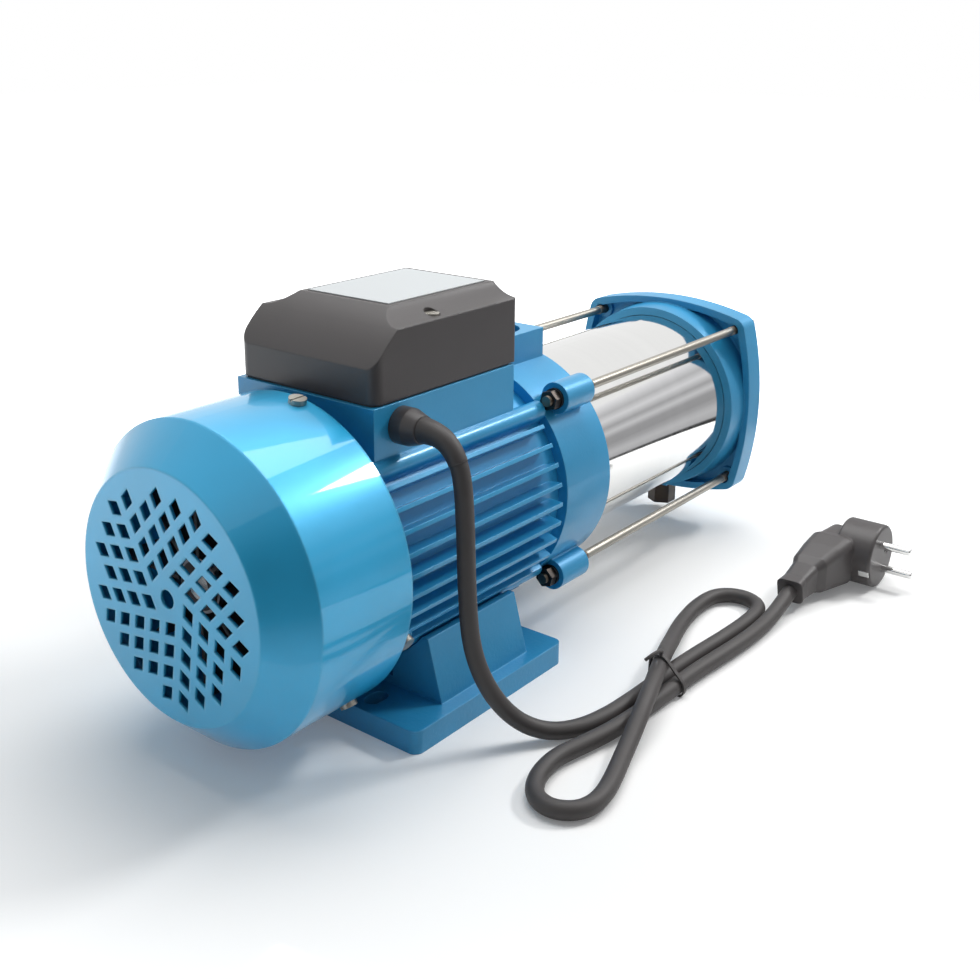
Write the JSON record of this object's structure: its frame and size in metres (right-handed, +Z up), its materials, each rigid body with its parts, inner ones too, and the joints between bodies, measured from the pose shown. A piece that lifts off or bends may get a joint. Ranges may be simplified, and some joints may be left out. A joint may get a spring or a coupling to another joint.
{
  "type": "multistage water pump",
  "caption": "Horizontal multistage water pump: finned electric motor with fan cowl and terminal box, steel sleeve between tie rods, threaded ports, cast foot and mains cord.",
  "frame": {"origin": "centre of the foot's bolt pattern, on the sole", "axes": "+X along the shaft from the fan to the suction port, +Z up through the discharge port, +Y to the side away from the cord"},
  "size_m": [0.47, 0.274, 0.2124],
  "materials": {
    "blue_gloss_steel": "gloss",
    "blue_cast_aluminium": "satin",
    "blue_cast_iron": "satin",
    "steel_bolts": "satin",
    "black_steel": "satin",
    "polished_steel": "polished",
    "laminated_steel": "matte",
    "copper_windings": "satin",
    "rotor_aluminium": "satin",
    "turned_steel": "satin",
    "bearing_steel": "polished",
    "black_rubber": "matte",
    "seal_ring": "satin",
    "seal_metal": "satin",
    "black_plastic": "satin",
    "spring_steel": "satin",
    "pale_plastic": "satin",
    "dark_plastic": "satin",
    "brass_screws": "satin",
    "bare_plate": "satin"
  },
  "bodies": {
    "pump": {"fan_cowl": "blue_gloss_steel", "motor_housing": "blue_cast_aluminium", "pump_bracket": "blue_cast_aluminium", "rear_end_shield": "blue_cast_aluminium", "suction_body": "blue_cast_iron", "foot": "blue_cast_iron", "cowl_screws": "steel_bolts", "motor_tie_bolts": "steel_bolts", "earth_screw": "steel_bolts", "foot_screws": "steel_bolts", "tie_rods": "steel_bolts", "terminal_cover_screws": "steel_bolts", "wave_washer": "steel_bolts", "tie_rod_nuts": "black_steel", "tie_rod_washers": "black_steel", "drain_plug": "black_steel", "priming_plug": "black_steel", "steel_sleeve": "polished_steel", "plug_pins": "polished_steel", "plug_earth_contacts": "polished_steel", "stator_core": "laminated_steel", "stator_windings": "copper_windings", "front_bearing_outer": "bearing_steel", "rear_bearing_outer": "bearing_steel", "power_cord": "black_rubber", "cord_tie": "black_rubber", "sleeve_gaskets": "black_rubber", "terminal_gasket": "black_rubber", "seal_seat": "seal_ring", "terminal_cover": "black_plastic", "cable_gland": "black_plastic", "gland_nut": "black_plastic", "plug_body": "black_plastic", "capacitor": "pale_plastic", "terminal_block": "pale_plastic", "diffuser_1": "dark_plastic", "diffuser_2": "dark_plastic", "diffuser_3": "dark_plastic", "diffuser_4": "dark_plastic", "diffuser_5": "dark_plastic", "terminal_screws": "brass_screws", "rating_plate": "bare_plate"},
    "rotor": {"shaft": "turned_steel", "rotor_core": "rotor_aluminium", "cooling_fan": "black_plastic", "fan_clip": "spring_steel", "impeller_spacers": "turned_steel", "impeller_nut": "turned_steel", "seal_head": "seal_metal", "water_slinger": "black_rubber", "front_bearing_inner": "bearing_steel", "rear_bearing_inner": "bearing_steel", "impeller_1": "pale_plastic", "impeller_2": "pale_plastic", "impeller_3": "pale_plastic", "impeller_4": "pale_plastic", "impeller_5": "pale_plastic"},
    "front_balls": {"front_bearing_balls": "bearing_steel"},
    "rear_balls": {"rear_bearing_balls": "bearing_steel"}
  },
  "joints": [
    {"name": "rotor_spin", "type": "hinge", "parent": "pump", "child": "rotor", "pos_m": [0, 0, 0.091], "axis": [1, 0, 0], "continuous": true},
    {"name": "front_balls_spin", "type": "hinge", "parent": "pump", "child": "front_balls", "pos_m": [0.07, 0, 0.091], "axis": [1, 0, 0], "continuous": true},
    {"name": "rear_balls_spin", "type": "hinge", "parent": "pump", "child": "rear_balls", "pos_m": [-0.0845, 0, 0.091], "axis": [1, 0, 0], "continuous": true}
  ],
  "couplings": [
    {"joint": "front_balls_spin", "follows": "rotor_spin", "ratio": 0.381},
    {"joint": "rear_balls_spin", "follows": "rotor_spin", "ratio": 0.382}
  ]
}
